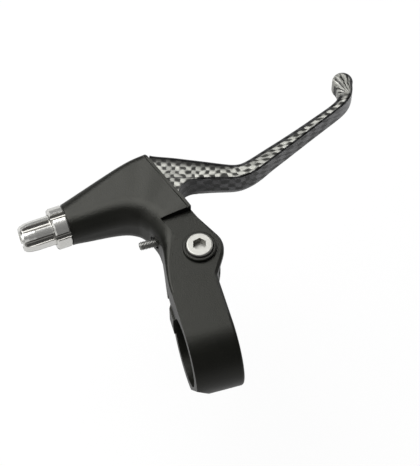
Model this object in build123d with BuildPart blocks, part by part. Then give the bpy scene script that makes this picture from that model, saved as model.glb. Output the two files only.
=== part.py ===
from build123d import *
import math
import os

os.makedirs("parts", exist_ok=True)

# Handlebar clamp
bar_diameter = 22.2
clamp_wall = 3.2
clamp_width = 15.6
clamp_gap = 1.0
clamp_gap_z = 2.9
bar_radius = bar_diameter / 2
clamp_radius = bar_radius + clamp_wall
clamp_half = clamp_width / 2

# Lever slot, pivot ears and pivot
slot_width = 10.4
ear_thickness = 3.0
ear_half = slot_width / 2 + ear_thickness
plane_z = clamp_radius - ear_half
pivot_x = 5.1
pivot_y = 27.4
ear_radius = 7.7
back_ear_radius = 6.7
pivot_boss_radius = 5.4
pivot_boss_height = 1.2
head_proud = 1.0
ear_chamfer = 0.9

# Cable line, a tangent of the pull circle about the pivot
cable_angle = 5.0
cable_arm = 28.0
trunk_reach = 35.2
cable_slit = 2.2
cable_x = math.cos(math.radians(cable_angle))
cable_y = math.sin(math.radians(cable_angle))
foot_x = pivot_x - cable_arm * cable_y
foot_y = pivot_y + cable_arm * cable_x
boss_x = foot_x - trunk_reach * cable_x
boss_y = foot_y - trunk_reach * cable_y

# Casting sections from the boss round the inner corner and down the neck: point on the lower outline,
# far point, half height over each of them (none where it lies on the sloped front), rounding at each
trunk_boss_radius = 6.6
front_slope = 0.11
casting_sections = [
    ((-31.83, 45.65), (-32.98, 58.80), None, None, 6.0, 6.0),
    ((-27.32, 45.72), (-28.45, 60.10), None, None, 6.1, 5.4),
    ((-22.80, 45.74), (-23.69, 61.52), None, None, 6.2, 4.8),
    ((-18.90, 45.67), (-18.89, 62.94), None, None, 6.4, 4.2),
    ((-15.70, 45.42), (-14.00, 64.38), None, None, 6.6, 3.7),
    ((-13.20, 44.86), (-8.89, 65.68), None, None, 6.8, 3.3),
    ((-11.20, 43.90), (-3.34, 66.41), None, None, 7.0, 3.0),
    ((-9.55, 42.55), (5.20, 64.00), None, None, 7.0, 3.0),
    ((-8.25, 40.85), (9.00, 55.50), None, None, 6.9, 3.0),
    ((-7.25, 38.85), (11.50, 42.00), None, None, 6.6, 3.0),
    ((-6.45, 36.50), (8.50, 37.20), 9.0, 9.4, 5.6, 2.4),
    ((-6.05, 34.50), (4.50, 34.60), 8.5, 8.6, 4.4, 1.6),
]
neck_sections = [
    ((-5.90, 32.50), (1.10, 32.50), ear_half, ear_half, 3.2, 0.8),
    ((-6.45, 28.00), (1.10, 28.00), ear_half, ear_half, 2.0, 0.8),
    ((-7.05, 24.00), (1.10, 24.00), ear_half, ear_half, 1.3, 0.8),
    ((-7.65, 19.00), (1.10, 19.00), ear_half, ear_half, 0.9, 0.8),
    ((-7.80, 13.90), (1.10, 13.90), ear_half, ear_half, 0.8, 0.8),
]
neck_core_x = -1.5

# Mouth of the trunk
mouth_x = -2.0
mouth_y = 64.7
mouth_angle = -70.0
mouth_break_y = 41.5
mouth_lip = 1.25
mouth_groove = 0.4
step_y = 40.9

# Threads, bolts and screws
barrel_radius = 5.0
barrel_play = 0.06
reach_y = 37.8
reach_radius = 1.5
reach_play = 0.05
reach_recess_radius = 2.2
reach_recess_x = -5.3
clamp_bolt_x = -2.4
clamp_bolt_y = 17.4
clamp_bolt_radius = 2.5
clamp_ear_radius = 4.9
clamp_ear_foot = -5.0
clamp_ear_left = 8.4
free_ear_clear = 0.8
shoulder_radius = 3.0
shoulder_play = 0.03
thread_play = 0.03
free_hole_play = 0.25
spot_face_play = 0.35
bolt_head_radius = 4.25
bolt_head_height = 3.6
head_recess_play = 0.3
bolt_hex = 4.0
bolt_hex_depth = 2.6
bolt_hex_turn = 73.7

# Lever
knuckle_radius = 6.5
lever_half = 4.95
root_half = 4.85
flange_seat = 4.5
stop_face_x = -1.3
nipple_radius = 3.65
nipple_angle = 9.5
nipple_depth = 7.6
tip_x = 70.7
tip_y = 79.9
tip_radius = 3.5
tip_half = 4.0
shoulder_gap = 0.4
shoulder_chamfer = 0.7
shoulder_y = 60.6

# Blade sections: inner edge point, outer edge point, half width, outer round, inner round
blade_sections = [
    ((-3.5, 58.57), (-0.14, 68.53), 4.95, 2.2, 0.5),
    ((2.43, 57.08), (5.46, 66.12), 4.95, 2.28, 0.5),
    ((8.36, 55.6), (11.06, 63.71), 4.95, 2.39, 0.5),
    ((14.3, 54.11), (16.76, 61.25), 4.85, 2.5, 0.5),
    ((20.23, 52.62), (22.36, 58.84), 4.66, 2.6, 0.5),
    ((26.21, 51.46), (26.44, 57.56), 4.46, 2.6, 0.5),
    ((32.14, 52.74), (29.87, 58.07), 4.28, 2.6, 0.5),
    ((37.65, 55.39), (35.56, 60.26), 4.08, 2.6, 0.5),
    ((43.16, 58.04), (41.25, 62.46), 3.93, 2.6, 0.5),
    ((48.67, 60.69), (46.92, 64.7), 3.81, 2.6, 0.5),
    ((54.18, 63.34), (52.57, 67.0), 3.72, 2.5, 0.5),
    ((59.69, 65.99), (58.2, 69.3), 3.7, 2.3, 0.5),
    ((65.2, 68.64), (63.8, 71.7), 3.7, 2.1, 0.5),
    ((70.1, 71.7), (67.0, 74.0), 3.78, 2.0, 0.8),
    ((72.8, 75.5), (67.75, 76.6), 3.9, 2.0, 1.3),
]

# Bushes
bush_radius = 4.0
bush_length = 4.0
flange_radius = 5.6
flange_thickness = 0.65
bush_play = 0.02
bush_bore_play = 0.04
flange_seat_play = 1.6

# Adjuster and its lock ring
barrel_engaged = 10.0
barrel_visible = 10.5
ring_radius = 6.9
ring_length = 5.0
ring_gap = 0.1
ring_chamfer = 0.5
housing_radius = 2.65
housing_depth = 8.0
cable_hole_radius = 1.3
lobe_count = 6
lobe_turn = -1.0
flute_radius = 1.25
flute_start = 1.0
flute_end = 0.6


def on_cable(distance):
    """Plane across the cable line at a distance from the boss end: its x runs up, its normal to the mouth."""
    spot = (boss_x + distance * cable_x, boss_y + distance * cable_y, plane_z)
    return Plane(origin=spot, x_dir=(-cable_y, cable_x, 0), z_dir=(cable_x, cable_y, 0))


def ear_tangent(x, y, side, radius):
    """Touch point on an ear round of a line from a point; side chooses which of the two."""
    dx = pivot_x - x
    dy = pivot_y - y
    reach = math.hypot(dx, dy)
    turn = math.atan2(dy, dx) + side * math.asin(radius / reach)
    run = math.sqrt(reach ** 2 - radius ** 2)
    return (x + run * math.cos(turn), y + run * math.sin(turn))


def front_height(x, y):
    """Height of the sloped front of the trunk over the lever plane."""
    return trunk_boss_radius + front_slope * ((x - boss_x) * cable_x + (y - boss_y) * cable_y)


def section_row(outline, far, outline_half, far_half, outline_round, far_round):
    """A section of the casting: its plane, its corners and its two roundings."""
    reach = Vector(far[0] - outline[0], far[1] - outline[1], 0)
    low = outline_half or front_height(*outline)
    high = far_half or front_height(*far)
    plane = Plane(origin=(*outline, plane_z), x_dir=reach, z_dir=reach.cross(Vector(0, 0, 1)))
    return plane, [(0, -low), (reach.length, -high), (reach.length, high), (0, low)], outline_round, far_round


def mouth_at(y):
    """X of the mouth line at a height y."""
    return mouth_x + (y - mouth_y) / math.tan(math.radians(mouth_angle))


def on_front(y, outward):
    """Front plane coordinates of a point beside the mouth line at a height y."""
    dx = mouth_at(y) + outward * mouth_out[0] - boss_x
    dy = y + outward * mouth_out[1] - boss_y
    return ((dx * cable_x + dy * cable_y) * math.hypot(1, front_slope), dy * cable_x - dx * cable_y)


lever_plane = Plane.XY.offset(plane_z)
mouth_dir = (math.cos(math.radians(mouth_angle)), math.sin(math.radians(mouth_angle)), 0)
mouth_out = (-mouth_dir[1], mouth_dir[0], 0)
mouth_plane = Plane(origin=(mouth_x, mouth_y, plane_z), x_dir=mouth_dir, z_dir=mouth_out)
front_plane = Plane(
    origin=(boss_x, boss_y, plane_z + trunk_boss_radius),
    x_dir=(cable_x, cable_y, front_slope),
    z_dir=(-front_slope * cable_x, -front_slope * cable_y, 1),
)
break_point = (mouth_at(mouth_break_y), mouth_break_y)
notch_point = (clamp_half, 16.9)
groove_side = mouth_groove - mouth_lip
groove_corners = [
    on_front(70, -mouth_lip), on_front(70, groove_side), on_front(38, groove_side), on_front(38, -mouth_lip)
]
ear_pocket = [(-4.1, step_y - 0.3), (20, step_y + 24 * cable_y / cable_x), (20, 10), (9, 10), (-1.5, 35.1)]
ear_top = ear_tangent(*break_point, 1, ear_radius)
ear_low = ear_tangent(*notch_point, -1, ear_radius)
back_top = ear_tangent(*break_point, 1, back_ear_radius)
back_low = ear_tangent(*notch_point, -1, back_ear_radius)

# Trunk: one smooth loft round the inner corner, its front on the sloped plane and then down to the ears' plane
with BuildPart() as trunk:
    for row in casting_sections + neck_sections[:1]:
        section_plane, corners, near_round, far_round = section_row(*row)
        with BuildSketch(section_plane):
            with BuildLine():
                Polyline(*corners, close=True)
            make_face()
            fillet(vertices().sort_by(Axis.X)[-2:], far_round)
            fillet(vertices().sort_by(Axis.X)[:2], near_round)
    loft()
    split(bisect_by=mouth_plane, keep=Keep.BOTTOM)

# Neck: goes on from the last section of the trunk down to the clamp
with BuildPart() as neck:
    for row in neck_sections:
        section_plane, corners, near_round, far_round = section_row(*row)
        with BuildSketch(section_plane):
            with BuildLine():
                Polyline(*corners, close=True)
            make_face()
            fillet(vertices().sort_by(Axis.X)[-2:], far_round)
            fillet(vertices().sort_by(Axis.X)[:2], near_round)
    loft()

# Clamp ring with its lower inner corner planed off
with BuildPart() as clamp_ring:
    with BuildSketch(Plane.YZ.offset(-clamp_half)):
        Circle(clamp_radius)
    extrude(amount=clamp_width)
    fillet(faces().sort_by(Axis.X)[-1].edges(), 0.9)
    split(
        bisect_by=Plane(origin=(-clamp_half, -10.6, -6.1), z_dir=(-2.0, -3.7, -2.1)),
        keep=Keep.BOTTOM,
    )

# Raised boss of the front ear
with BuildPart() as pivot_boss:
    with BuildSketch(lever_plane.offset(ear_half - 1)):
        with Locations((pivot_x, pivot_y)):
            Circle(pivot_boss_radius)
    extrude(amount=1 + pivot_boss_height)
    fillet(edges().group_by(Axis.Z)[-1], 0.4)

# Bracket casting
with BuildPart() as bracket:
    with BuildSketch(Plane.XY.offset(plane_z - ear_half)):
        with BuildLine():
            Polyline(
                ear_low,
                notch_point,
                (clamp_half, 0),
                (-clamp_half, 0),
                (-clamp_half, 14),
                (neck_core_x, 14),
                (neck_core_x, 52),
                (mouth_at(56) - 0.3, 56),
                break_point,
                ear_top,
            )
            ThreePointArc(ear_top, (pivot_x + ear_radius, pivot_y), ear_low)
        make_face()
    extrude(amount=2 * ear_half)
    notch_edge = edges().filter_by(Axis.Z).sort_by_distance((*notch_point, plane_z))[0]
    fillet(notch_edge, 2.0)
    front = faces().sort_by(Axis.Z)[-1]
    ear_rim = front.edges().filter_by(lambda e: e.center().X > 5 and e.center().Y < 42 and e.center().Y > 1)
    chamfer(ear_rim, ear_chamfer)
    # the back ear is a little smaller than the front one
    with BuildSketch(lever_plane.offset(-slot_width / 2)):
        with Locations((12, 29)):
            Rectangle(14, 24.9)
        with BuildLine():
            Polyline(
                break_point,
                back_top,
                (pivot_x, pivot_y),
                back_low,
                notch_point,
                (0, notch_point[1]),
                (0, break_point[1]),
                close=True,
            )
        make_face(mode=Mode.SUBTRACT)
        with Locations((pivot_x, pivot_y)):
            Circle(back_ear_radius, mode=Mode.SUBTRACT)
    extrude(amount=-2 * ear_thickness, mode=Mode.SUBTRACT)
    add(neck.part)
    add(trunk.part)
    # flat ear faces cut into the flared root of the trunk, front and back
    with BuildSketch(lever_plane.offset(ear_half)):
        with BuildLine():
            Polyline(*ear_pocket, close=True)
        make_face()
    extrude(amount=6, mode=Mode.SUBTRACT)
    with BuildSketch(lever_plane.offset(-ear_half)):
        with BuildLine():
            Polyline(*ear_pocket, close=True)
        make_face()
    extrude(amount=-6, mode=Mode.SUBTRACT)
    # room for the free clamp ear under the neck
    with BuildSketch(Plane.XY.offset(clamp_gap_z + clamp_gap / 2)):
        with Locations((0, clamp_bolt_y / 2 - 0.7)):
            Rectangle(3 * clamp_width, clamp_bolt_y - 1.4)
        with Locations((clamp_bolt_x, clamp_bolt_y)):
            Circle(clamp_ear_radius + free_ear_clear)
        with Locations((clamp_bolt_x, clamp_bolt_y - 3)):
            Rectangle(2 * (clamp_ear_radius + free_ear_clear), 6)
        with Locations((clamp_bolt_x - clamp_half, clamp_bolt_y - 3)):
            Rectangle(clamp_width, 6)
        with Locations((clamp_bolt_x - clamp_half - 3.6, clamp_bolt_y)):
            Rectangle(clamp_width, 7.2)
    extrude(amount=-20, mode=Mode.SUBTRACT)
    add(clamp_ring.part)
    # free clamp ear around the bolt
    with BuildSketch(Plane.XY.offset(clamp_ear_foot)):
        with BuildLine():
            Polyline(
                (-clamp_ear_left, 8),
                (-clamp_ear_left, clamp_bolt_y - 2),
                (clamp_bolt_x - clamp_ear_radius, clamp_bolt_y),
                (clamp_bolt_x + clamp_ear_radius, clamp_bolt_y),
                (clamp_half, 13.2),
                (clamp_half, 8),
                close=True,
            )
        make_face()
        with Locations((clamp_bolt_x, clamp_bolt_y)):
            Circle(clamp_ear_radius)
    extrude(amount=clamp_gap_z - clamp_gap / 2 - clamp_ear_foot)
    # handlebar bore and the gap that lets the clamp close
    with BuildSketch(Plane.YZ.offset(-clamp_width)):
        Circle(bar_radius)
    extrude(amount=2 * clamp_width, mode=Mode.SUBTRACT)
    with BuildSketch(Plane.XY.offset(clamp_gap_z)):
        with Locations((0, 12)):
            Rectangle(2 * clamp_width, 24)
    extrude(amount=clamp_gap / 2, both=True, mode=Mode.SUBTRACT)
    # spot face for the bolt head
    with BuildSketch(Plane.XY.offset(clamp_ear_foot)):
        with Locations((clamp_bolt_x, clamp_bolt_y)):
            Circle(bolt_head_radius + spot_face_play)
    extrude(amount=-14, mode=Mode.SUBTRACT)
    # bolt hole: clear in the free ear, tapped and blind in the neck
    with BuildSketch(Plane.XY.offset(clamp_ear_foot - 1)):
        with Locations((clamp_bolt_x, clamp_bolt_y)):
            Circle(clamp_bolt_radius + free_hole_play)
    extrude(amount=clamp_gap_z - clamp_ear_foot + 1, mode=Mode.SUBTRACT)
    with BuildSketch(Plane.XY.offset(clamp_gap_z)):
        with Locations((clamp_bolt_x, clamp_bolt_y)):
            Circle(clamp_bolt_radius + thread_play)
    extrude(amount=8.6, mode=Mode.SUBTRACT)
    # raised boss around the bolt head, then its recess and the shoulder hole
    add(pivot_boss.part)
    with BuildSketch(lever_plane):
        with Locations((pivot_x, pivot_y)):
            Circle(shoulder_radius + shoulder_play)
    extrude(amount=20, both=True, mode=Mode.SUBTRACT)
    with BuildSketch(lever_plane.offset(ear_half + pivot_boss_height + head_proud - bolt_head_height)):
        with Locations((pivot_x, pivot_y)):
            Circle(bolt_head_radius + head_recess_play)
    extrude(amount=20, mode=Mode.SUBTRACT)
    # groove that sets off the lip along the front of the mouth
    with BuildSketch(front_plane.offset(-mouth_groove)):
        with BuildLine():
            Polyline(*groove_corners, close=True)
        make_face()
    extrude(amount=4, mode=Mode.SUBTRACT)
    # slot for the lever, with room for the nipple seat in the trunk
    with BuildSketch(lever_plane):
        with BuildLine():
            Polyline(
                (-2.6, 26),
                (-2.6, 41.5),
                (-13, 49),
                (-15, 51),
                (-15, 57.5),
                (-11, 60.6),
                (30, 62.6),
                (30, 14),
                (8.6, 19.2),
                (2, 19.6),
                close=True,
            )
        make_face()
    extrude(amount=slot_width / 2, both=True, mode=Mode.SUBTRACT)
    # tapped hole for the adjuster, cable way and the slit the cable is laid in through
    with BuildSketch(on_cable(-1)):
        Circle(barrel_radius + barrel_play)
    extrude(amount=19, mode=Mode.SUBTRACT)
    with BuildSketch(on_cable(-1)):
        with Locations((0, -10)):
            Rectangle(cable_slit, 20)
    extrude(amount=50, mode=Mode.SUBTRACT)
    # recess and tapped hole of the reach screw
    with BuildSketch(Plane.YZ.offset(-20)):
        with Locations((reach_y, plane_z)):
            Circle(reach_recess_radius)
    extrude(amount=reach_recess_x + 20, mode=Mode.SUBTRACT)
    with BuildSketch(Plane.YZ.offset(-20)):
        with Locations((reach_y, plane_z)):
            Circle(reach_radius + reach_play)
    extrude(amount=20, mode=Mode.SUBTRACT)
bracket.part.label = "bracket"
export_step(bracket.part, "parts/bracket.step")

# Lever: a lofted finger blade with one flat and one rounded side, on a flat knuckle and nipple seat
nipple_x = pivot_x - cable_arm * math.sin(math.radians(nipple_angle))
nipple_y = pivot_y + cable_arm * math.cos(math.radians(nipple_angle))
with BuildPart() as lever_blade:
    for inner, outer, half, outer_round, inner_round in blade_sections:
        across = Vector(outer[0] - inner[0], outer[1] - inner[1], 0)
        middle = ((inner[0] + outer[0]) / 2, (inner[1] + outer[1]) / 2, plane_z)
        with BuildSketch(Plane(origin=middle, x_dir=across, z_dir=across.cross(Vector(0, 0, 1)))):
            Rectangle(across.length, 2 * half)
            fillet(vertices().sort_by(Axis.X)[-2:], outer_round)
            fillet(vertices().sort_by(Axis.X)[:2], inner_round)
    # the last section is the full width of the round tip
    with BuildSketch(Plane(origin=(tip_x, tip_y, plane_z), x_dir=(-1, 0.09, 0), z_dir=(0.09, 1, 0))):
        Rectangle(2 * tip_radius, 2 * tip_half)
        fillet(vertices(), 2.0)
    loft()
with BuildPart() as lever_tip:
    with BuildSketch(lever_plane.offset(-tip_half)):
        with Locations((tip_x, tip_y)):
            Circle(tip_radius)
    extrude(amount=2 * tip_half)
    fillet(edges().filter_by(GeomType.CIRCLE), 2.0)
with BuildPart() as lever_root:
    with BuildSketch(lever_plane.offset(-root_half)):
        with BuildLine():
            Polyline(
                (12.2, 54.7),
                (0.0, 57.7),
                (9.2, 32.5),
                (pivot_x, pivot_y),
                (stop_face_x, 28.5),
                (stop_face_x, 43.0),
                (nipple_x - 5.2, nipple_y - 2.0),
                (nipple_x - 3.0, nipple_y + 4.6),
                (12.2, 60.5),
                close=True,
            )
        make_face()
        fillet(vertices().sort_by_distance((0.0, 57.7))[0], 6.5)
        with Locations((pivot_x, pivot_y)):
            Circle(knuckle_radius)
        with Locations((nipple_x, nipple_y)):
            Circle(5.6)
    extrude(amount=2 * root_half)
with BuildPart() as lever:
    add(lever_blade.part)
    add(lever_tip.part)
    add(lever_root.part)
    # shoulder that stands clear of the mouth of the bracket
    with BuildSketch(lever_plane):
        with BuildLine():
            Polyline(
                (-20, shoulder_y),
                (mouth_at(shoulder_y) + shoulder_gap, shoulder_y),
                (mouth_at(75) + shoulder_gap, 75),
                (-20, 75),
                close=True,
            )
        make_face()
    extrude(amount=20, both=True, mode=Mode.SUBTRACT)
    shoulder_face = faces().sort_by_distance((mouth_at(64) + shoulder_gap, 64, plane_z))[0]
    shoulder_rims = [e for e in shoulder_face.edges() if abs(e.center().Z - plane_z) > lever_half - 0.3]
    chamfer(shoulder_rims, shoulder_chamfer)
    # bush bore and flange seats
    with BuildSketch(lever_plane):
        with Locations((pivot_x, pivot_y)):
            Circle(bush_radius + bush_play)
    extrude(amount=20, both=True, mode=Mode.SUBTRACT)
    with BuildSketch(lever_plane.offset(flange_seat)):
        with Locations((pivot_x, pivot_y)):
            Circle(flange_radius + flange_seat_play)
    extrude(amount=5, mode=Mode.SUBTRACT)
    with BuildSketch(lever_plane.offset(-flange_seat)):
        with Locations((pivot_x, pivot_y)):
            Circle(flange_radius + flange_seat_play)
    extrude(amount=-5, mode=Mode.SUBTRACT)
    # seat of the cable nipple, open underneath, and the slot its cable leaves by
    with BuildSketch(lever_plane.offset(-lever_half - 1)):
        with Locations((nipple_x, nipple_y)):
            Circle(nipple_radius)
    extrude(amount=nipple_depth + 1, mode=Mode.SUBTRACT)
    with BuildSketch(lever_plane.offset(-lever_half - 1)):
        with Locations(Location((nipple_x - 5 * cable_x, nipple_y - 5 * cable_y), cable_angle)):
            Rectangle(10, cable_slit)
    extrude(amount=lever_half + 1 + cable_slit / 2, mode=Mode.SUBTRACT)
lever.part.label = "lever_blade"
export_step(lever.part, "parts/lever_blade.step")

# Pivot bolt with its shoulder, thread end and hex socket
head_top = ear_half + pivot_boss_height + head_proud
thread_end = -ear_half - 4.6
with BuildPart() as pivot_bolt:
    with BuildSketch(lever_plane.offset(head_top - bolt_head_height)):
        with Locations((pivot_x, pivot_y)):
            Circle(bolt_head_radius)
    extrude(amount=bolt_head_height)
    fillet(edges().group_by(Axis.Z)[-1], 0.5)
    with BuildSketch(lever_plane.offset(-ear_half + 0.2)):
        with Locations((pivot_x, pivot_y)):
            Circle(shoulder_radius)
    extrude(amount=ear_half - 0.2 + head_top - bolt_head_height)
    with BuildSketch(lever_plane.offset(thread_end)):
        with Locations((pivot_x, pivot_y)):
            Circle(clamp_bolt_radius - 0.05)
    extrude(amount=-thread_end)
    chamfer(edges().group_by(Axis.Z)[0], 0.5)
    with BuildSketch(lever_plane.offset(head_top)):
        with Locations((pivot_x, pivot_y)):
            RegularPolygon(bolt_hex / 2, 6, major_radius=False, rotation=bolt_hex_turn)
    extrude(amount=-bolt_hex_depth, mode=Mode.SUBTRACT)
pivot_bolt.part.label = "pivot_bolt"
export_step(pivot_bolt.part, "parts/pivot_bolt.step")

# Flanged bushes, one from each side of the knuckle
with BuildPart() as upper_pivot_bush:
    with BuildSketch(lever_plane.offset(flange_seat - bush_length)):
        with Locations((pivot_x, pivot_y)):
            Circle(bush_radius)
    extrude(amount=bush_length)
    with BuildSketch(lever_plane.offset(flange_seat)):
        with Locations((pivot_x, pivot_y)):
            Circle(flange_radius)
    extrude(amount=flange_thickness)
    with BuildSketch(lever_plane):
        with Locations((pivot_x, pivot_y)):
            Circle(shoulder_radius + bush_bore_play)
    extrude(amount=10, both=True, mode=Mode.SUBTRACT)
upper_pivot_bush.part.label = "upper_pivot_bush"
export_step(upper_pivot_bush.part, "parts/upper_pivot_bush.step")
with BuildPart() as lower_pivot_bush:
    add(mirror(upper_pivot_bush.part, about=lever_plane, mode=Mode.PRIVATE))
lower_pivot_bush.part.label = "lower_pivot_bush"
export_step(lower_pivot_bush.part, "parts/lower_pivot_bush.step")

# Lock nut on the far ear
with BuildPart() as pivot_nut:
    with BuildSketch(lever_plane.offset(-ear_half)):
        with Locations((pivot_x, pivot_y)):
            RegularPolygon(4.0, 6, major_radius=False, rotation=30)
            Circle(clamp_bolt_radius, mode=Mode.SUBTRACT)
    extrude(amount=-2.8)
    with BuildSketch(lever_plane.offset(-ear_half - 2.8)):
        with Locations((pivot_x, pivot_y)):
            Circle(3.7)
            Circle(clamp_bolt_radius, mode=Mode.SUBTRACT)
    extrude(amount=-1.2)
pivot_nut.part.label = "pivot_nut"
export_step(pivot_nut.part, "parts/pivot_nut.step")

# Reach screw, its point against the stop face of the lever
reach_tip = stop_face_x - 0.05
reach_length = 10.7
with BuildPart() as reach_screw:
    with BuildSketch(Plane.YZ.offset(reach_tip - reach_length)):
        with Locations((reach_y, plane_z)):
            Circle(reach_radius)
    extrude(amount=reach_length)
    chamfer(edges().group_by(Axis.X)[-1], 0.6)
    chamfer(edges().group_by(Axis.X)[0], 0.3)
    with BuildSketch(Plane.YZ.offset(reach_tip - reach_length)):
        with Locations((reach_y, plane_z)):
            RegularPolygon(0.75, 6, major_radius=False)
    extrude(amount=1.6, mode=Mode.SUBTRACT)
reach_screw.part.label = "reach_screw"
export_step(reach_screw.part, "parts/reach_screw.step")

# Barrel adjuster: threaded shank, fluted bullet nose, housing socket and cable slot
nose = -(ring_gap + ring_length + barrel_visible)
with BuildPart() as barrel_adjuster:
    with BuildSketch(Plane(origin=(boss_x, boss_y, plane_z), x_dir=(cable_x, cable_y, 0), z_dir=(0, 0, 1))):
        with BuildLine():
            Polyline(
                (nose, 0),
                (nose, 3.7),
                (nose + 0.7, 4.3),
                (nose + 2.2, 4.8),
                (nose + 4.5, barrel_radius),
                (barrel_engaged - 0.8, barrel_radius),
                (barrel_engaged, barrel_radius - 0.8),
                (barrel_engaged, 0),
                close=True,
            )
        make_face()
    revolve(axis=Axis(on_cable(0).origin, on_cable(0).z_dir))
    with BuildSketch(on_cable(nose + flute_start)):
        with PolarLocations(barrel_radius + 0.3, lobe_count, start_angle=30 + lobe_turn):
            Circle(flute_radius)
    extrude(amount=barrel_visible - flute_start - flute_end, mode=Mode.SUBTRACT)
    with BuildSketch(on_cable(nose)):
        Circle(housing_radius)
    extrude(amount=housing_depth, mode=Mode.SUBTRACT)
    with BuildSketch(on_cable(nose)):
        Circle(cable_hole_radius)
    extrude(amount=barrel_engaged - nose, mode=Mode.SUBTRACT)
    with BuildSketch(on_cable(nose)):
        with Locations(Location((0, 0), lobe_turn)):
            with Locations((0, -5)):
                Rectangle(1.8, 10)
    extrude(amount=barrel_engaged - nose, mode=Mode.SUBTRACT)
barrel_adjuster.part.label = "barrel_adjuster"
export_step(barrel_adjuster.part, "parts/barrel_adjuster.step")

# Lock ring of the adjuster
with BuildPart() as adjuster_locknut:
    with BuildSketch(on_cable(-ring_gap - ring_length)):
        Circle(ring_radius)
    extrude(amount=ring_length)
    chamfer(edges().filter_by(GeomType.CIRCLE), ring_chamfer)
    with BuildSketch(on_cable(-ring_gap - ring_length)):
        with PolarLocations(ring_radius + 0.2, lobe_count, start_angle=30 + lobe_turn):
            Circle(1.1)
        Circle(barrel_radius + barrel_play)
        with Locations(Location((0, 0), lobe_turn)):
            with Locations((0, -5)):
                Rectangle(cable_slit, 10)
    extrude(amount=ring_length, mode=Mode.SUBTRACT)
adjuster_locknut.part.label = "adjuster_locknut"
export_step(adjuster_locknut.part, "parts/adjuster_locknut.step")

# Clamp bolt from below
with BuildPart() as clamp_bolt:
    with BuildSketch(Plane.XY.offset(clamp_ear_foot)):
        with Locations((clamp_bolt_x, clamp_bolt_y)):
            Circle(bolt_head_radius)
    extrude(amount=-5.0)
    fillet(edges().group_by(Axis.Z)[0], 0.5)
    with BuildSketch(Plane.XY.offset(clamp_ear_foot)):
        with Locations((clamp_bolt_x, clamp_bolt_y)):
            Circle(clamp_bolt_radius)
    extrude(amount=14.6)
    chamfer(edges().group_by(Axis.Z)[-1], 0.5)
    with BuildSketch(Plane.XY.offset(clamp_ear_foot - 5.0)):
        with Locations((clamp_bolt_x, clamp_bolt_y)):
            RegularPolygon(bolt_hex / 2, 6, major_radius=False)
    extrude(amount=bolt_hex_depth, mode=Mode.SUBTRACT)
clamp_bolt.part.label = "clamp_bolt"
export_step(clamp_bolt.part, "parts/clamp_bolt.step")
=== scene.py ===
import logging
import math
from dataclasses import dataclass, field
from enum import Enum
from functools import reduce
from typing import Dict, List, Optional, Tuple, Union

import bpy
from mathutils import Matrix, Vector


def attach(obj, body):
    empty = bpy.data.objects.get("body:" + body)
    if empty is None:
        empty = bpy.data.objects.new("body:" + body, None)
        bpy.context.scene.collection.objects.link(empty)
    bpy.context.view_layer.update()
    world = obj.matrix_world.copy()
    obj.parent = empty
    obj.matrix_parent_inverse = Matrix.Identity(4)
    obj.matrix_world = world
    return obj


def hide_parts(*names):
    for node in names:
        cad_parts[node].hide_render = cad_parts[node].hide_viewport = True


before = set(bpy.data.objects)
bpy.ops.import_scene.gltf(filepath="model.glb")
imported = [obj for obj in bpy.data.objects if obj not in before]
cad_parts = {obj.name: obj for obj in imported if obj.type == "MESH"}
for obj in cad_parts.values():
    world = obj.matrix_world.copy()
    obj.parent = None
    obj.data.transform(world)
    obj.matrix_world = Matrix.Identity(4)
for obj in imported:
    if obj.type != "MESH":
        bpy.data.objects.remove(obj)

Socket = bpy.types.NodeSocket
Point = Tuple[float, float, float]
Colour = Tuple[float, float, float]
Span = Tuple[float, float]
Value = Union[int, float, Socket]
Paint = Union[Colour, Socket]
Pair = Tuple[Socket, Socket]
Triple = Tuple[Socket, Socket, Socket]

MM = 0.001
MM_PER_METRE = 1000.0
LEVEL = 1e-6
UPWARDS: Point = (0.0, 0.0, 1.0)
WHITE: Colour = (1.0, 1.0, 1.0)
log = logging.getLogger("brake_lever")


class Mark(Enum):
    """How a bare metal was worked: the stretch of its fine marks along x, y and z."""

    TURNED = (1.0, 1.0, 1.0)
    DRAWN = (0.08, 1.0, 1.0)
    CAST = (0.5, 0.5, 0.5)


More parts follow.
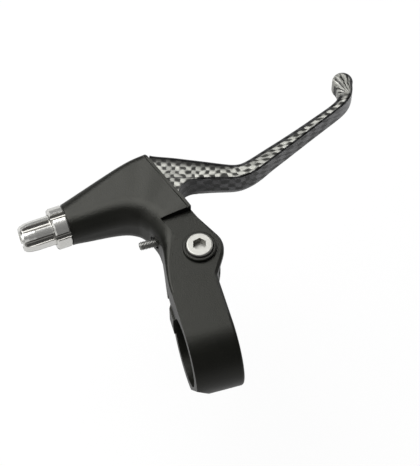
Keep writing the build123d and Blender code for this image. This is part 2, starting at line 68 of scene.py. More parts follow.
class Nodes:
    """A node tree, with short ways to add to it."""

    def __init__(self, tree: bpy.types.NodeTree) -> None:
        """Keep the tree that nodes are added to."""
        self.tree = tree

    def add(self, kind: str, **settings: object) -> bpy.types.Node:
        """Add a node and set its plain properties.

        Args:
            kind: Blender's name of the node type.
            settings: Properties to set on the node.

        Returns:
            The new node.
        """
        node = self.tree.nodes.new(kind)
        for key, value in settings.items():
            setattr(node, key, value)
        return node

    def feed(self, socket: Socket, value: Union[Value, Paint]) -> None:
        """Link an input, or set it where a number or a colour is given.

        Args:
            socket: Input to feed.
            value: Output socket, number or colour.
        """
        if isinstance(value, Socket):
            self.tree.links.new(value, socket)
        elif isinstance(value, tuple):
            socket.default_value = (*value, 1.0)
        else:
            socket.default_value = value

    def calc(self, operation: str, *values: Value) -> Socket:
        """One Math node.

        Args:
            operation: Name of the operation.
            values: Its inputs, sockets or numbers.

        Returns:
            The result socket.
        """
        node = self.add("ShaderNodeMath", operation=operation)
        for socket, value in zip(node.inputs, values):
            self.feed(socket, value)
        return node.outputs[0]

    def plus(self, *values: Value) -> Socket:
        """Sum of some numbers."""
        return reduce(lambda total, value: self.calc("ADD", total, value), values)

    def times(self, *values: Value) -> Socket:
        """Product of some numbers."""
        return reduce(lambda total, value: self.calc("MULTIPLY", total, value), values)

    def less(self, first: Value, second: Value) -> Socket:
        """The first number less the second."""
        return self.calc("SUBTRACT", first, second)

    def ratio(self, first: Value, second: Value) -> Socket:
        """The first number over the second."""
        return self.calc("DIVIDE", first, second)

    def length(self, first: Value, second: Value) -> Socket:
        """Distance from its two parts at a right angle."""
        return self.calc("SQRT", self.plus(self.times(first, first), self.times(second, second)))

    def rise(self, value: Value, span: Span) -> Socket:
        """A smooth step from 0 to 1.

        Args:
            value: Number to test.
            span: Where the step starts and where it ends.

        Returns:
            A socket between 0 and 1.
        """
        node = self.add("ShaderNodeMapRange", interpolation_type="SMOOTHSTEP")
        self.feed(node.inputs["Value"], value)
        node.inputs["From Min"].default_value = span[0]
        node.inputs["From Max"].default_value = span[1]
        return node.outputs["Result"]

    def fall(self, value: Value, span: Span) -> Socket:
        """A smooth step from 1 at the start of a span to 0 at its end."""
        return self.less(1.0, self.rise(value, span))

    def blend(self, factor: Value, first: Value, second: Value) -> Socket:
        """Mix two numbers.

        Args:
            factor: 0 gives the first, 1 the second.
            first: Number or socket.
            second: Number or socket.

        Returns:
            The mixed number.
        """
        node = self.add("ShaderNodeMix", data_type="FLOAT")
        self.feed(node.inputs[0], factor)
        self.feed(node.inputs[2], first)
        self.feed(node.inputs[3], second)
        return node.outputs[0]

    def tint(self, factor: Value, first: Paint, second: Paint) -> Socket:
        """Mix two colours.

        Args:
            factor: 0 gives the first, 1 the second.
            first: Colour or socket.
            second: Colour or socket.

        Returns:
            The mixed colour.
        """
        node = self.add("ShaderNodeMix", data_type="RGBA")
        self.feed(node.inputs[0], factor)
        self.feed(node.inputs[6], first)
        self.feed(node.inputs[7], second)
        return node.outputs[2]

    def triple(self, x: Value, y: Value, z: Value = 0.0) -> Socket:
        """Join three numbers to a vector.

        Args:
            x: Number or socket.
            y: Number or socket.
            z: Number or socket.

        Returns:
            The vector socket.
        """
        node = self.add("ShaderNodeCombineXYZ")
        for socket, value in zip(node.inputs, (x, y, z)):
            self.feed(socket, value)
        return node.outputs[0]

    def parts(self, vector: Socket) -> Triple:
        """Take a vector apart.

        Args:
            vector: Vector socket.

        Returns:
            Its x, y and z sockets.
        """
        node = self.add("ShaderNodeSeparateXYZ")
        self.feed(node.inputs[0], vector)
        return node.outputs[0], node.outputs[1], node.outputs[2]

    def noise(self, vector: Socket, size: float, detail: float) -> Socket:
        """Noise of a given grain size.

        Args:
            vector: Coordinates to read.
            size: Size of one grain in the units of the coordinates.
            detail: Octaves.

        Returns:
            A socket between 0 and 1.
        """
        node = self.add("ShaderNodeTexNoise")
        self.feed(node.inputs["Vector"], vector)
        node.inputs["Scale"].default_value = 1.0 / size
        node.inputs["Detail"].default_value = detail
        return node.outputs["Fac"]

    def rays(self) -> Pair:
        """Tell apart the rays that meet the floor or the world.

        Returns:
            1 for rays from the camera or through glass, and 1 for rays off a glossy surface.
        """
        path = self.add("ShaderNodeLightPath").outputs
        seen = self.calc("MAXIMUM", path["Is Camera Ray"], path["Is Transmission Ray"])
        return seen, path["Is Glossy Ray"]


class Recipe(Nodes):
    """One node material: a Principled shader and the nodes that feed it."""

    def __init__(self, name: str) -> None:
        """Make a node material with nothing but its shader.

        Args:
            name: Name of the material.
        """
        self.material = bpy.data.materials.new(name)
        self.material.use_nodes = True
        super().__init__(self.material.node_tree)
        self.tree.nodes.clear()
        self.output = self.add("ShaderNodeOutputMaterial")
        self.shader = self.add("ShaderNodeBsdfPrincipled")
        self.feed(self.output.inputs["Surface"], self.shader.outputs["BSDF"])

    def shade(self, **inputs: Union[Value, Paint]) -> None:
        """Feed inputs of the shader; an underscore in a name stands for a space."""
        for key, value in inputs.items():
            self.feed(self.shader.inputs[key.replace("_", " ")], value)

    def bump(self, height: Socket, depth_mm: float, strength: float) -> None:
        """Feed the shader's normal from a height.

        Args:
            height: Height between 0 and 1.
            depth_mm: What 1 means, in millimetres.
            strength: Share of the effect.
        """
        node = self.add("ShaderNodeBump")
        node.inputs["Strength"].default_value = strength
        node.inputs["Distance"].default_value = depth_mm * MM
        self.feed(node.inputs["Height"], height)
        self.shade(Normal=node.outputs[0])

    def place(self) -> Socket:
        """Object coordinates, in metres."""
        return self.add("ShaderNodeTexCoord").outputs["Object"]

    def normal(self) -> Triple:
        """The x, y and z parts of the surface's normal."""
        return self.parts(self.add("ShaderNodeTexCoord").outputs["Normal"])

    def millimetres(self) -> Triple:
        """Object coordinates in millimetres.

        Returns:
            The x, y and z sockets.
        """
        scale = self.add("ShaderNodeVectorMath", operation="SCALE")
        self.feed(scale.inputs[0], self.place())
        scale.inputs["Scale"].default_value = MM_PER_METRE
        return self.parts(scale.outputs[0])


@dataclass(frozen=True)
class MattCoat:
    """Fine-grained matt black coat of the casting, with a lighter band round the rim of the clamp bore
    that is partly wear and partly a painted highlight of the bore's edge.
    """

    name: str = "matt_black_coat"
    dark: Colour = (0.0020, 0.0021, 0.0016)
    light: Colour = (0.0085, 0.0088, 0.0069)
    # Lighter colour of the bore's rim: partly worn coat, partly painted highlight.
    bare: Colour = (0.070, 0.070, 0.066)
    gloss_tint: Colour = (1.0, 1.0, 0.92)
    roughness: Span = (0.34, 0.42)
    cloud_mm: float = 7.0
    cloud_share: float = 0.6
    grain_mm: float = 0.34
    grain_depth_mm: float = 0.08
    bore_mm: float = 11.1
    wall_mm: Span = (0.02, 0.12)
    rim_mm: Span = (0.15, 0.55)
    worn_and_highlit: Span = (0.30, 0.60)

    def make(self) -> bpy.types.Material:
        """Build the material.

        Returns:
            The finished material.
        """
        recipe = Recipe(self.name)
        place = recipe.place()
        cloud = recipe.noise(place, self.cloud_mm * MM, detail=4.0)
        grain = recipe.noise(place, self.grain_mm * MM, detail=2.0)
        coat = recipe.tint(recipe.blend(self.cloud_share, grain, cloud), self.dark, self.light)
        # The base colour lightens round the bore's rim: partly wear, partly a painted highlight of the
        # edge.
        recipe.shade(
            Base_Color=recipe.tint(self.rim_wear_and_highlight(recipe, cloud), coat, self.bare),
            Roughness=recipe.blend(cloud, *self.roughness),
            Specular_IOR_Level=0.295,
            Specular_Tint=self.gloss_tint,
        )
        recipe.bump(grain, self.grain_depth_mm, strength=0.8)
        return recipe.material

    def rim_wear_and_highlight(self, recipe: Recipe, cloud: Socket) -> Socket:
        """Where the rim of the clamp bore is lighter: partly worn by the handlebar, partly a painted
        highlight of its edge.

        Args:
            recipe: Material under construction.
            cloud: Slow noise that breaks the wear up.

        Returns:
            A share between 0 and 1.
        """
        _, y, z = recipe.millimetres()
        depth = recipe.less(recipe.length(y, z), self.bore_mm)
        rim = recipe.times(recipe.fall(depth, self.rim_mm), recipe.rise(depth, self.wall_mm))
        return recipe.times(rim, recipe.rise(cloud, self.worn_and_highlit))


@dataclass(frozen=True)
class BladeLine:
    """The bent line along the middle of the blade, in millimetres."""

    knee_x: float = 25.5
    knee_y: float = 53.0
    knee_round: float = 6.0
    lean: float = 0.056
    fold: float = 0.381
    stretch: float = 1.06

    def measure(self, recipe: Recipe, x: Socket, y: Socket) -> Pair:
        """Coordinates that follow the bend of the blade.

        Args:
            recipe: Material under construction.
            x: Millimetres along the bar.
            y: Millimetres away from it.

        Returns:
            Distance along the blade and across it.
        """
        run = recipe.less(x, self.knee_x)
        reach = recipe.calc("SQRT", recipe.plus(recipe.times(run, run), self.knee_round ** 2))
        middle = recipe.plus(self.knee_y, recipe.times(run, self.lean), recipe.times(reach, self.fold))
        slope = recipe.plus(self.lean, recipe.times(self.fold, recipe.ratio(run, reach)))
        level = recipe.ratio(1.0, recipe.plus(1.0, recipe.times(slope, slope)))
        off = recipe.less(y, middle)
        along = recipe.times(self.stretch, recipe.plus(x, recipe.times(off, slope, level)))
        return along, recipe.times(off, recipe.calc("SQRT", level))


@dataclass(frozen=True)
class PlainWeave:
    """Loosely laid tows that pass over and under each other, with painted shade along one side of each
    tow.
    """

    tow_mm: float = 1.65
    pick_mm: float = 1.5
    sway_mm: float = 2.6
    sway_every_mm: float = 5.0
    lift_mm: float = 1.4
    lift_every_mm: float = 4.0
    loose: float = 1.1
    loose_every_mm: float = 1.1
    crown: Span = (-0.25, 1.10)
    verge: float = 0.30
    verge_width: Span = (0.08, 0.36)
    one_sided_shade: Span = (0.05, 0.60)
    fibre_along: float = 0.6
    fibre_across: float = 5.0
    fibre_every_mm: float = 0.8
    fibre: Span = (0.22, 0.62)
    fibre_dark: float = 0.50
    tone: Span = (0.62, 1.30)
    gap_dark: float = 0.06

    def cells(self, recipe: Recipe, along: Socket, across: Socket) -> Pair:
        """Brightness and height of the woven tows.

        Args:
            recipe: Material under construction.
            along: Millimetres along the blade.
            across: Millimetres across it.

        Returns:
            Brightness, 0 in the gaps and about 1 on a tow, darkened by painted shade along one side of
            each tow, and the crown of each tow.
        """
        sway = recipe.noise(recipe.triple(along, across), self.sway_every_mm, detail=1.0)
        lift = recipe.noise(recipe.triple(across, along), self.lift_every_mm, detail=1.0)
        along = recipe.plus(along, recipe.times(recipe.less(sway, 0.5), self.sway_mm))
        across = recipe.plus(across, recipe.times(recipe.less(lift, 0.5), self.lift_mm))
        tow = recipe.ratio(along, self.tow_mm)
        pick = recipe.ratio(across, self.pick_mm)
        luck = recipe.add("ShaderNodeTexWhiteNoise", noise_dimensions="2D")
        cell = recipe.triple(recipe.calc("FLOOR", tow), recipe.calc("FLOOR", pick))
        recipe.feed(luck.inputs["Vector"], cell)
        turn = recipe.times(tow, math.pi)
        wave = recipe.calc("SINE", recipe.times(pick, math.pi))
        loose = recipe.noise(recipe.triple(along, across), self.loose_every_mm, detail=1.0)
        over = recipe.times(recipe.calc("SINE", turn), wave)
        weave = recipe.plus(over, recipe.times(loose, self.loose))
        crown = recipe.rise(weave, self.crown)
        # Painted shade: a dark band along the side of each tow where its slope rises, as if light fell
        # from one side.
        verge = recipe.fall(recipe.calc("ABSOLUTE", recipe.less(weave, self.verge)), self.verge_width)
        slope = recipe.times(recipe.calc("COSINE", turn), wave)
        one_sided_shade = recipe.times(verge, recipe.rise(slope, self.one_sided_shade))
        strands = recipe.triple(
            recipe.times(along, self.fibre_along), recipe.times(across, self.fibre_across)
        )
        fibre = recipe.rise(recipe.noise(strands, self.fibre_every_mm, detail=2.0), self.fibre)
        bright = recipe.times(
            recipe.blend(luck.outputs["Value"], *self.tone),
            recipe.blend(fibre, self.fibre_dark, 1.0),
            recipe.blend(one_sided_shade, 1.0, self.gap_dark),
            recipe.blend(crown, self.gap_dark, 1.0),
        )
        return bright, crown


@dataclass(frozen=True)
class TipFan:
    """Tows that fan out over the round tip from a point on its neck, in millimetres."""

    x: float = 71.2
    y: float = 72.4
    strokes: float = 26.0
    sway: float = 4.0
    sway_every_mm: float = 1.6
    begin: Span = (1.6, 3.6)
    end: Span = (8.4, 9.8)
    edge: Span = (0.20, 0.75)
    hairs: float = 9.0
    hair_along: float = 0.12
    hair_every: float = 0.5
    hair: Span = (0.30, 0.70)
    ground: Span = (0.26, 0.92)
    gap_dark: float = 0.02

    def spread(self, recipe: Recipe, x: Socket, y: Socket) -> Socket:
        """Brightness of the fan.

        Args:
            recipe: Material under construction.
            x: Millimetres along the bar.
            y: Millimetres away from it.

        Returns:
            Brightness between 0 and 1.
        """
        side = recipe.less(x, self.x)
        ahead = recipe.less(y, self.y)
        turn = recipe.calc("ARCTAN2", ahead, side)
        reach = recipe.length(side, ahead)
        sway = recipe.noise(recipe.triple(x, y), self.sway_every_mm, detail=1.0)
        wave = recipe.plus(recipe.times(turn, self.strokes), recipe.times(sway, self.sway))
        ring = recipe.times(recipe.rise(reach, self.begin), recipe.fall(reach, self.end))
        stroke = recipe.times(recipe.rise(recipe.calc("SINE", wave), self.edge), ring)
        hairs = recipe.triple(recipe.times(turn, self.hairs), recipe.times(reach, self.hair_along))
        hair = recipe.rise(recipe.noise(hairs, self.hair_every, detail=1.0), self.hair)
        return recipe.blend(stroke, recipe.blend(hair, *self.ground), self.gap_dark)


@dataclass(frozen=True)
class WovenComposite:
    """Grey and silver plain weave under a gloss clear coat, black along its edges.

    Lengths are in millimetres, and a facing is a part of the surface's normal.
    """

    name: str = "woven_composite"
    line: BladeLine = BladeLine()
    weave: PlainWeave = PlainWeave()
    fan: TipFan = TipFan()
    silver: Colour = (0.57, 0.57, 0.525)
    grey: Colour = (0.010, 0.010, 0.009)
    black: Colour = (0.002, 0.002, 0.002)
    dull: Colour = (0.050, 0.050, 0.052)
    dim: Colour = (0.28, 0.28, 0.29)
    flank: Colour = (0.80, 0.80, 0.82)
    # Near-white of the flank towards the tip, also used for the painted reflection low on the flank.
    bare: Colour = (0.92, 0.92, 0.94)
    back: Colour = (0.26, 0.26, 0.265)
    flat_facing: Span = (0.965, 0.9985)
    flank_facing: Span = (0.10, 0.30)
    back_facing: Span = (0.0, 0.3)
    slant: float = 0.9
    slant_from: Span = (22.0, 34.0)
    flank_cell: float = 0.62
    outer_from: Span = (28.0, 36.0)
    outer_across: Span = (0.3, 1.3)
    outer_ragged: float = 2.2
    outer_every: float = 2.4
    outer_shade: float = 0.28
    edge_y: float = 68.47
    edge_fall: float = 0.4307
    edge_cosine: float = 0.918
    edge_inset: Span = (2.5, 4.4)
    edge_to: Span = (20.0, 27.0)
    edge_shade: float = 0.10
    tip_from: Span = (73.0, 74.8)
    tip_right: float = 0.85
    tip_away: float = 0.45
    tip_edge: Span = (0.12, 0.36)
    flank_from: Span = (14.0, 44.0)
    bare_from: Span = (58.0, 72.0)
    reflection_top: Span = (2.6, 3.4)
    reflection_from: Span = (9.0, 16.0)
    reflection_to: Span = (28.0, 38.0)
    metal_share: float = 0.3
    tow_depth: float = 0.12

    def make(self) -> bpy.types.Material:
        """Build the material.

        Returns:
            The finished material.
        """
        recipe = Recipe(self.name)
        place = recipe.millimetres()
        right, away, up = recipe.normal()
        facing = recipe.calc("ABSOLUTE", up)
        side = recipe.fall(facing, self.flank_facing)
        tip = recipe.rise(place[1], self.tip_from)
        cloth, crown = self.cloth(recipe, place, side)
        cloth = recipe.blend(tip, cloth, self.fan.spread(recipe, place[0], place[1]))
        # On the tip, rounds that face right or away from the bar stay black and those that face left
        # take the face colour: painted light and shade by facing.
        turned = recipe.plus(recipe.times(right, self.tip_right), recipe.times(away, self.tip_away))
        level = recipe.rise(facing, self.flat_facing)
        flat = recipe.blend(tip, level, recipe.fall(turned, self.tip_edge))
        edge = recipe.tint(cloth, self.black, self.dull)
        rim = recipe.tint(side, edge, self.wall(recipe, place, away, cloth))
        face = recipe.tint(cloth, self.grey, self.silver)
        recipe.shade(
            Base_Color=recipe.tint(flat, rim, face),
            Metallic=recipe.times(self.metal_share, cloth, flat),
            Roughness=0.42,
            Specular_IOR_Level=0.12,
            Coat_Weight=0.35,
            Coat_Roughness=0.06,
            Coat_IOR=1.45,
        )
        recipe.bump(crown, self.tow_depth, strength=0.5)
        return recipe.material

    def cloth(self, recipe: Recipe, place: Triple, side: Socket) -> Pair:
        """The weave over the broad face and round the flanks, with its shaded edges.

        Args:
            recipe: Material under construction.
            place: Object coordinates in millimetres.
            side: 1 on the flanks, 0 on the broad face.

        Returns:
            Brightness of the cloth, and the crown of each tow.
        """
        x, y, z = place
        along, across = self.line.measure(recipe, x, y)
        ragged = recipe.noise(recipe.triple(along, across), self.outer_every, detail=1.0)
        ragged = recipe.times(recipe.less(ragged, 0.5), self.outer_ragged)
        outer = recipe.rise(recipe.plus(across, ragged), self.outer_across)
        outer = recipe.times(outer, recipe.less(recipe.rise(x, self.outer_from), side))
        across = recipe.blend(side, across, z)
        slant = recipe.times(self.slant, recipe.rise(x, self.slant_from))
        along = recipe.plus(along, recipe.times(across, slant))
        size = recipe.blend(side, 1.0, self.flank_cell)
        bright, crown = self.weave.cells(recipe, recipe.times(along, size), recipe.times(across, size))
        shade = recipe.blend(recipe.calc("MAXIMUM", outer, 0.0), 1.0, self.outer_shade)
        return recipe.times(bright, self.root_shade(recipe, x, y), shade), crown

    def root_shade(self, recipe: Recipe, x: Socket, y: Socket) -> Socket:
        """Darker cloth along the outer edge of the broad root.

        Args:
            recipe: Material under construction.
            x: Millimetres along the bar.
            y: Millimetres away from it.

        Returns:
            A factor between 0 and 1.
        """
        edge = recipe.less(self.edge_y, recipe.times(x, self.edge_fall))
        inset = recipe.times(recipe.less(edge, y), self.edge_cosine)
        shade = recipe.blend(recipe.rise(inset, self.edge_inset), self.edge_shade, 1.0)
        return recipe.blend(recipe.rise(x, self.edge_to), shade, 1.0)

    def wall(self, recipe: Recipe, place: Triple, away: Socket, cloth: Socket) -> Socket:
        """Colour of the flanks, lighter towards the tip, with a painted reflection along a low band
        near the root.

        Args:
            recipe: Material under construction.
            place: Object coordinates in millimetres.
            away: Part of the normal that points away from the bar.
            cloth: Brightness of the cloth.

        Returns:
            The colour socket.
        """
        x, _, z = place
        colour = recipe.tint(recipe.times(cloth, cloth), self.black, self.dim)
        light = recipe.tint(cloth, self.dull, self.flank)
        colour = recipe.tint(recipe.rise(x, self.flank_from), colour, light)
        end = recipe.tint(cloth, self.flank, self.bare)
        colour = recipe.tint(recipe.rise(x, self.bare_from), colour, end)
        # Painted reflection: a near-white band low on the flank near the root.
        reach = recipe.times(recipe.rise(x, self.reflection_from), recipe.fall(x, self.reflection_to))
        reflection_band = recipe.times(recipe.fall(z, self.reflection_top), reach)
        colour = recipe.tint(reflection_band, colour, self.bare)
        back = recipe.tint(cloth, self.dull, self.back)
        return recipe.tint(recipe.rise(away, self.back_facing), colour, back)


@dataclass(frozen=True)
class Thread:
    """A screw thread on a round shank: axis, pitch and the stretch it covers, in millimetres."""

    origin: Point
    axis: Point
    pitch: float
    stretch: Span
    depth: float = 0.35
    run_out: float = 0.3

    def height(self, recipe: Recipe) -> Socket:
        """Height of the thread, 1 on its crest and off the threaded stretch.

        Args:
            recipe: Material under construction.

        Returns:
            A socket between 0 and 1.
        """
        axis = Vector(self.axis).normalized()
        side = axis.orthogonal().normalized()
        lift = axis.cross(side)
        shift = [recipe.less(value, start) for value, start in zip(recipe.millimetres(), self.origin)]

        def along(direction: Vector) -> Socket:
            """Distance from the origin along a direction."""
            return recipe.plus(*(recipe.times(value, share) for value, share in zip(shift, direction)))

        run = along(axis)
        turn = recipe.ratio(recipe.calc("ARCTAN2", along(lift), along(side)), 2.0 * math.pi)
        phase = recipe.less(recipe.ratio(run, self.pitch), turn)
        wave = recipe.times(recipe.calc("PINGPONG", phase, 0.5), 2.0)
        low, high = self.stretch
        begin = recipe.rise(run, (low, low + self.run_out))
        end = recipe.fall(run, (high - self.run_out, high))
        return recipe.blend(recipe.times(begin, end), 1.0, wave)


@dataclass(frozen=True)
class Flutes:
    """Round grooves along a barrel, in degrees and millimetres round its axis."""

    origin: Point
    heading: float
    count: int
    first: float
    reach: float
    radius: float
    margin: Span = (0.02, 0.18)

    def share(self, recipe: Recipe) -> Socket:
        """Where the surface lies inside a groove.

        Args:
            recipe: Material under construction.

        Returns:
            A socket between 0 and 1.
        """
        x, y, z = [recipe.less(value, start) for value, start in zip(recipe.millimetres(), self.origin)]
        heading = math.radians(self.heading)
        side = recipe.less(recipe.times(y, math.cos(heading)), recipe.times(x, math.sin(heading)))
        reach = recipe.length(side, z)
        angle = recipe.less(recipe.calc("ARCTAN2", z, side), math.radians(self.first))
        folded = recipe.calc("PINGPONG", angle, math.pi / self.count)
        near = recipe.less(recipe.times(reach, recipe.calc("COSINE", folded)), self.reach)
        off = recipe.times(reach, recipe.calc("SINE", folded))
        low, high = self.margin
        return recipe.fall(recipe.length(near, off), (self.radius + low, self.radius + high))


@dataclass(frozen=True)
class Metal:
    """A bare metal with the fine marks of its working, or with a thread whose roots carry painted
    shade, and painted shade in its grooves.
    """

    name: str
    dark: Colour
    light: Colour
    roughness: Span
    mark: Mark = Mark.TURNED
    mark_mm: float = 0.12
    depth_mm: float = 0.004
    cloud_mm: float = 3.0
    bareness: float = 0.94
    groove_shade: Colour = (0.29, 0.283, 0.265)
    thread_root_shade: Colour = (0.05, 0.05, 0.05)

    def make(
        self, thread: Optional[Thread] = None, flutes: Optional[Flutes] = None
    ) -> bpy.types.Material:
        """Build the material.

        Args:
            thread: Screw thread to show on the shank, its roots darkened with painted shade.
            flutes: Grooves that get painted shade.

        Returns:
            The finished material.
        """
        recipe = Recipe(self.name)
        cloud = recipe.noise(recipe.place(), self.cloud_mm * MM, detail=3.0)
        if thread is None:
            colour = recipe.tint(cloud, self.dark, self.light)
            recipe.bump(self.marks(recipe), self.depth_mm, strength=0.4)
        else:
            ridge = thread.height(recipe)
            # Painted shade: the roots of the thread are dark in the base colour.
            colour = recipe.tint(ridge, self.thread_root_shade, self.light)
            recipe.bump(ridge, thread.depth, strength=0.8)
        # Painted shade: the flutes are darkened in the base colour.
        if flutes is not None:
            colour = recipe.tint(flutes.share(recipe), colour, self.groove_shade)
        recipe.shade(
            Base_Color=colour, Roughness=recipe.blend(cloud, *self.roughness), Metallic=self.bareness
        )
        return recipe.material

    def marks(self, recipe: Recipe) -> Socket:
        """Height of the fine marks of working.

        Args:
            recipe: Material under construction.

        Returns:
            A socket between 0 and 1.
        """
        stretch = recipe.add("ShaderNodeVectorMath", operation="MULTIPLY")
        recipe.feed(stretch.inputs[0], recipe.place())
        stretch.inputs[1].default_value = self.mark.value
        return recipe.noise(stretch.outputs[0], self.mark_mm * MM, detail=2.0)


@dataclass(frozen=True)
class BearingPlastic:
    """Black moulded plastic of the bushes."""

    name: str = "bearing_plastic"
    dark: Colour = (0.012, 0.012, 0.012)
    light: Colour = (0.03, 0.03, 0.03)
    roughness: Span = (0.35, 0.5)
    cloud_mm: float = 1.2

    def make(self) -> bpy.types.Material:
        """Build the material.

        Returns:
            The finished material.
        """
        recipe = Recipe(self.name)
        cloud = recipe.noise(recipe.place(), self.cloud_mm * MM, detail=3.0)
        recipe.shade(
            Base_Color=recipe.tint(cloud, self.dark, self.light),
            Roughness=recipe.blend(cloud, *self.roughness),
        )
        return recipe.material


SATIN_STEEL = Metal("satin_steel", (0.31, 0.308, 0.288), (0.38, 0.377, 0.352), (0.40, 0.50))
PLATED_STEEL = Metal("plated_steel", (0.52, 0.52, 0.50), (0.64, 0.64, 0.62), (0.30, 0.42))
PLAIN_STEEL = Metal("plain_steel", (0.26, 0.26, 0.25), (0.40, 0.40, 0.38), (0.32, 0.46), Mark.DRAWN)
POLISHED_BRIGHT = Metal(
    "polished_bright", (0.84, 0.835, 0.80), (0.94, 0.935, 0.90), (0.20, 0.27), Mark.CAST,
    mark_mm=0.3, bareness=0.86,
)


def wear(node: str, material: bpy.types.Material) -> None:
    """Give a CAD node its finish.

    Args:
        node: Name of the node.
        material: Finish for all its faces.
    """
    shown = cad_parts[node]
    shown.data.materials.clear()
    shown.data.materials.append(material)
    log.info("dressed %s in %s", node, material.name)


@dataclass
class Bracket:
    """The casting with its clamp bolt, pivot bolt and nut."""

    coat: MattCoat = field(default_factory=MattCoat)
    pivot_mm: Point = (5.1, 27.4, 6.1)
    pivot_thread_mm: Span = (-13.5, -8.2)
    clamp_bolt_mm: Point = (-2.4, 17.4, 0.0)
    clamp_thread_mm: Span = (-1.0, 12.0)
    pitch_mm: float = 0.8

    def dress(self) -> None:
        """Give the casting and its fasteners their finishes."""
        wear("bracket", self.coat.make())
        end = Thread(self.pivot_mm, UPWARDS, self.pitch_mm, self.pivot_thread_mm)
        wear("pivot_bolt", SATIN_STEEL.make(end))
        wear("pivot_nut", PLATED_STEEL.make())
        shank = Thread(self.clamp_bolt_mm, UPWARDS, self.pitch_mm, self.clamp_thread_mm)
        wear("clamp_bolt", PLATED_STEEL.make(shank))


@dataclass
class Lever:
    """The finger blade and its bushes."""

    composite: WovenComposite = field(default_factory=WovenComposite)
    plastic: BearingPlastic = field(default_factory=BearingPlastic)

    def dress(self) -> None:
        """Give the blade and the bushes their finishes."""
        wear("lever_blade", self.composite.make())
        plastic = self.plastic.make()
        wear("upper_pivot_bush", plastic)
        wear("lower_pivot_bush", plastic)


@dataclass
class Adjuster:
    """The barrel adjuster and its lock ring."""

    boss_mm: Point = (-32.407, 52.226, 6.1)
    cable_angle: float = 5.0
    pitch_mm: float = 1.0
    thread_mm: Span = (-5.4, 9.6)
    flute_count: int = 6
    first_flute: float = 29.0
    nose_flute_reach_mm: float = 5.3
    nose_flute_radius_mm: float = 1.25
    ring_flute_reach_mm: float = 7.1
    ring_flute_radius_mm: float = 1.1

    def flutes(self, reach_mm: float, radius_mm: float) -> Flutes:
        """Grooves round the cable's axis, at a distance from it."""
        return Flutes(
            self.boss_mm, self.cable_angle, self.flute_count, self.first_flute, reach_mm, radius_mm
        )

    def dress(self) -> None:
        """Give the bright pieces their finishes."""
        turn = math.radians(self.cable_angle)
        axis = (math.cos(turn), math.sin(turn), 0.0)
        shank = Thread(self.boss_mm, axis, self.pitch_mm, self.thread_mm)
        nose = self.flutes(self.nose_flute_reach_mm, self.nose_flute_radius_mm)
        ring = self.flutes(self.ring_flute_reach_mm, self.ring_flute_radius_mm)
        wear("barrel_adjuster", POLISHED_BRIGHT.make(shank, nose))
        wear("adjuster_locknut", POLISHED_BRIGHT.make(None, ring))


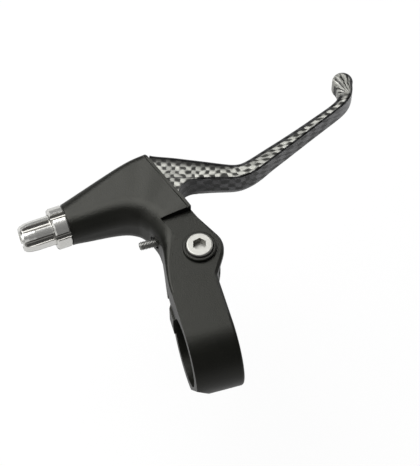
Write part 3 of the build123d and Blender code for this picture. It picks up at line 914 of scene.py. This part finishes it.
@dataclass
class ReachScrew:
    """The reach screw with its cut thread and hex socket."""

    tip_mm: float = -1.35
    length_mm: float = 10.7
    y_mm: float = 37.8
    z_mm: float = 6.1
    core_radius_mm: float = 1.2
    crest_radius_mm: float = 1.5
    ridge_radius_mm: float = 0.22
    pitch_mm: float = 0.5
    lead_in_mm: float = 0.35
    plain_mm: float = 1.3
    point_bevel_mm: float = 0.3
    socket_radius_mm: float = 0.87
    socket_depth_mm: float = 1.6
    core_sides: int = 32
    thread_steps: int = 24
    smooth_angle: float = 35.0

    def on_axis(self, x_mm: float) -> Point:
        """Point on the screw's axis, in metres."""
        return (x_mm * MM, self.y_mm * MM, self.z_mm * MM)

    def core(self) -> bpy.types.Object:
        """Turn the shank: a round bar with a narrowed point and a bevelled head end.

        Returns:
            The bar, at its place.
        """
        bpy.ops.object.select_all(action="DESELECT")
        bpy.ops.mesh.primitive_cylinder_add(
            vertices=self.core_sides, radius=self.core_radius_mm * MM, depth=self.length_mm * MM,
            location=self.on_axis(self.tip_mm - self.length_mm / 2), rotation=(0.0, math.pi / 2, 0.0),
        )
        bar = bpy.context.active_object
        bpy.ops.object.transform_apply(location=True, rotation=True, scale=True)
        for edge in bar.data.edges:
            ends = [bar.data.vertices[index].co.x for index in edge.vertices]
            edge.select = abs(ends[0] - ends[1]) < LEVEL
        bpy.ops.object.mode_set(mode="EDIT")
        bpy.ops.mesh.bevel(offset=self.point_bevel_mm * MM, segments=2)
        bpy.ops.object.mode_set(mode="OBJECT")
        return bar

    def ridge(self) -> bpy.types.Object:
        """Wind the thread: a three-sided ridge led round the shank.

        Returns:
            The ridge, at its place, with closed ends.
        """
        bpy.ops.object.select_all(action="DESELECT")
        bpy.ops.mesh.primitive_circle_add(
            vertices=3, radius=self.ridge_radius_mm * MM,
            location=self.on_axis(self.tip_mm - self.length_mm + self.lead_in_mm),
            rotation=(math.pi / 2, 0.0, 0.0),
        )
        ridge = bpy.context.active_object
        bpy.ops.object.transform_apply(location=False, rotation=True, scale=True)
        bpy.ops.object.mode_set(mode="EDIT")
        bpy.ops.mesh.select_all(action="SELECT")
        out = (self.crest_radius_mm - self.ridge_radius_mm) * MM
        bpy.ops.transform.translate(value=(0.0, 0.0, out))
        bpy.ops.object.mode_set(mode="OBJECT")
        winding = ridge.modifiers.new("thread", "SCREW")
        winding.axis = "X"
        winding.steps = self.thread_steps
        winding.render_steps = self.thread_steps
        winding.screw_offset = self.pitch_mm * MM
        winding.iterations = int((self.length_mm - self.plain_mm) / self.pitch_mm)
        winding.use_smooth_shade = False
        bpy.ops.object.modifier_apply(modifier="thread")
        bpy.ops.object.transform_apply(location=True, rotation=False, scale=False)
        bpy.ops.object.mode_set(mode="EDIT")
        bpy.ops.mesh.select_all(action="DESELECT")
        bpy.ops.mesh.select_mode(type="EDGE")
        bpy.ops.mesh.select_non_manifold()
        bpy.ops.mesh.fill_holes(sides=3)
        bpy.ops.mesh.select_all(action="SELECT")
        bpy.ops.mesh.normals_make_consistent(inside=False)
        bpy.ops.object.mode_set(mode="OBJECT")
        return ridge

    def socket(self, bar: bpy.types.Object) -> None:
        """Sink the hex socket into the outer end.

        Args:
            bar: The shank.
        """
        bpy.ops.object.select_all(action="DESELECT")
        bpy.ops.mesh.primitive_cylinder_add(
            vertices=6, radius=self.socket_radius_mm * MM, depth=2 * self.socket_depth_mm * MM,
            location=self.on_axis(self.tip_mm - self.length_mm), rotation=(0.0, math.pi / 2, 0.0),
        )
        punch = bpy.context.active_object
        cut = bar.modifiers.new("socket", "BOOLEAN")
        cut.operation = "DIFFERENCE"
        cut.object = punch
        bpy.context.view_layer.objects.active = bar
        bpy.ops.object.modifier_apply(modifier="socket")
        bpy.data.objects.remove(punch, do_unlink=True)

    def build(self) -> None:
        """Model the screw, put it in place of its plain solid and dress it."""
        bar = self.core()
        self.socket(bar)
        ridge = self.ridge()
        bpy.ops.object.select_all(action="DESELECT")
        ridge.select_set(True)
        bar.select_set(True)
        bpy.context.view_layer.objects.active = bar
        bpy.ops.object.join()
        bar.name = "reach_screw_threaded"
        bpy.ops.object.shade_smooth_by_angle(angle=math.radians(self.smooth_angle))
        bar.data.materials.clear()
        bar.data.materials.append(PLAIN_STEEL.make())
        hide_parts("reach_screw")
        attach(bar, "reach_stop")
        log.info("modelled %s with %d faces", bar.name, len(bar.data.polygons))


@dataclass(frozen=True)
class Lamp:
    """A square soft lamp: degrees round the object and above the horizon, metres and watts."""

    name: str
    azimuth: float
    elevation: float
    distance: float
    size: float
    power: float


LAMPS = (
    Lamp("key", azimuth=222.0, elevation=60.0, distance=1.3, size=1.3, power=26.0),
    Lamp("fill", azimuth=-20.0, elevation=22.0, distance=1.5, size=1.0, power=1.5),
    Lamp("side", azimuth=-88.0, elevation=24.0, distance=1.5, size=0.8, power=2.6),
    Lamp("rim", azimuth=112.0, elevation=18.0, distance=1.5, size=1.0, power=3.0),
)


@dataclass
class Studio:
    """Floor, lamps and camera."""

    target_mm: Point = (11.16, 36.36, 6.1)
    azimuth: float = -16.3
    elevation: float = 59.0
    distance: float = 0.55
    sensor_mm: float = 36.0
    focal_px: float = 1705.0
    image_height_px: int = 466
    nearest: float = 0.01
    farthest: float = 20.0
    floor_size: float = 24.0
    floor_z: float = -0.075
    floor_white: float = 0.92
    floor_mirrored: float = 0.66
    floor_bounce: float = 0.12
    world_light: float = 0.02
    world_seen: float = 0.95
    world_mirrored: float = 0.1

    def aim(self, thing: bpy.types.Object, azimuth: float, elevation: float, distance: float) -> None:
        """Bring a lamp or the camera into the scene, turned to the object.

        Args:
            thing: Lamp or camera.
            azimuth: Degrees round the object, 0 in front at -Y.
            elevation: Degrees above the horizon.
            distance: Metres from the target.
        """
        bpy.context.scene.collection.objects.link(thing)
        a = math.radians(azimuth)
        e = math.radians(elevation)
        back = Vector((math.sin(a) * math.cos(e), -math.cos(a) * math.cos(e), math.sin(e)))
        thing.location = Vector(self.target_mm) * MM + back * distance
        thing.rotation_mode = "QUATERNION"
        thing.rotation_quaternion = (-back).to_track_quat("-Z", "Y")

    def camera(self) -> None:
        """Set up the camera at the photograph's viewing angle."""
        data = bpy.data.cameras.new("camera")
        data.sensor_width = self.sensor_mm
        data.lens = self.sensor_mm * self.focal_px / self.image_height_px
        data.clip_start = self.nearest
        data.clip_end = self.farthest
        camera = bpy.data.objects.new("camera", data)
        self.aim(camera, self.azimuth, self.elevation, self.distance)
        bpy.context.scene.camera = camera

    def light(self, lamp: Lamp) -> None:
        """Add one lamp.

        Args:
            lamp: Its place, size and power.
        """
        data = bpy.data.lights.new(lamp.name, "AREA")
        data.shape = "SQUARE"
        data.size = lamp.size
        data.energy = lamp.power
        self.aim(bpy.data.objects.new(lamp.name, data), lamp.azimuth, lamp.elevation, lamp.distance)

    def floor(self) -> None:
        """Lay the pale floor, which shows white and still takes the shadow."""
        bpy.ops.object.select_all(action="DESELECT")
        bpy.ops.mesh.primitive_plane_add(size=self.floor_size, location=(0, 0, self.floor_z))
        floor = bpy.context.active_object
        floor.name = "floor"
        recipe = Recipe("pale_floor")
        seen, glossy = recipe.rays()
        mirrored = recipe.times(glossy, self.floor_mirrored)
        pale = recipe.tint(seen, (self.floor_bounce,) * 3, WHITE)
        recipe.shade(Base_Color=pale, Roughness=0.9, Specular_IOR_Level=0.1)
        white = recipe.add("ShaderNodeEmission")
        white.inputs["Strength"].default_value = 1.0
        glow = recipe.times(recipe.calc("MAXIMUM", seen, mirrored), self.floor_white)
        mix = recipe.add("ShaderNodeMixShader")
        recipe.feed(mix.inputs[0], glow)
        recipe.feed(mix.inputs[1], recipe.shader.outputs["BSDF"])
        recipe.feed(mix.inputs[2], white.outputs["Emission"])
        recipe.feed(recipe.output.inputs["Surface"], mix.outputs[0])
        floor.data.materials.append(recipe.material)

    def world(self) -> None:
        """Dim even light from all round, white where the camera sees it."""
        world = bpy.data.worlds.new("studio")
        world.use_nodes = True
        nodes = Nodes(world.node_tree)
        background = nodes.tree.nodes["Background"]
        nodes.feed(background.inputs["Color"], WHITE)
        seen, glossy = nodes.rays()
        white = nodes.times(seen, self.world_seen)
        mirrored = nodes.times(glossy, self.world_mirrored - self.world_light)
        strength = nodes.calc("MAXIMUM", white, nodes.plus(mirrored, self.world_light))
        nodes.feed(background.inputs["Strength"], strength)
        bpy.context.scene.world = world

    def build(self) -> None:
        """Make the floor, the world, the lamps and the camera."""
        bpy.context.scene.view_settings.view_transform = "Standard"
        self.floor()
        self.world()
        for lamp in LAMPS:
            self.light(lamp)
        self.camera()
        log.info("set up the floor, %d lamps and the camera", len(LAMPS))


def main() -> None:
    """Build the dressed brake lever and its studio."""
    logging.basicConfig(level=logging.INFO, format="%(name)s: %(message)s")
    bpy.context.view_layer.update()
    bpy.ops.object.select_all(action="DESELECT")
    Bracket().dress()
    Lever().dress()
    Adjuster().dress()
    ReachScrew().build()
    Studio().build()


if __name__ == "__main__":
    main()
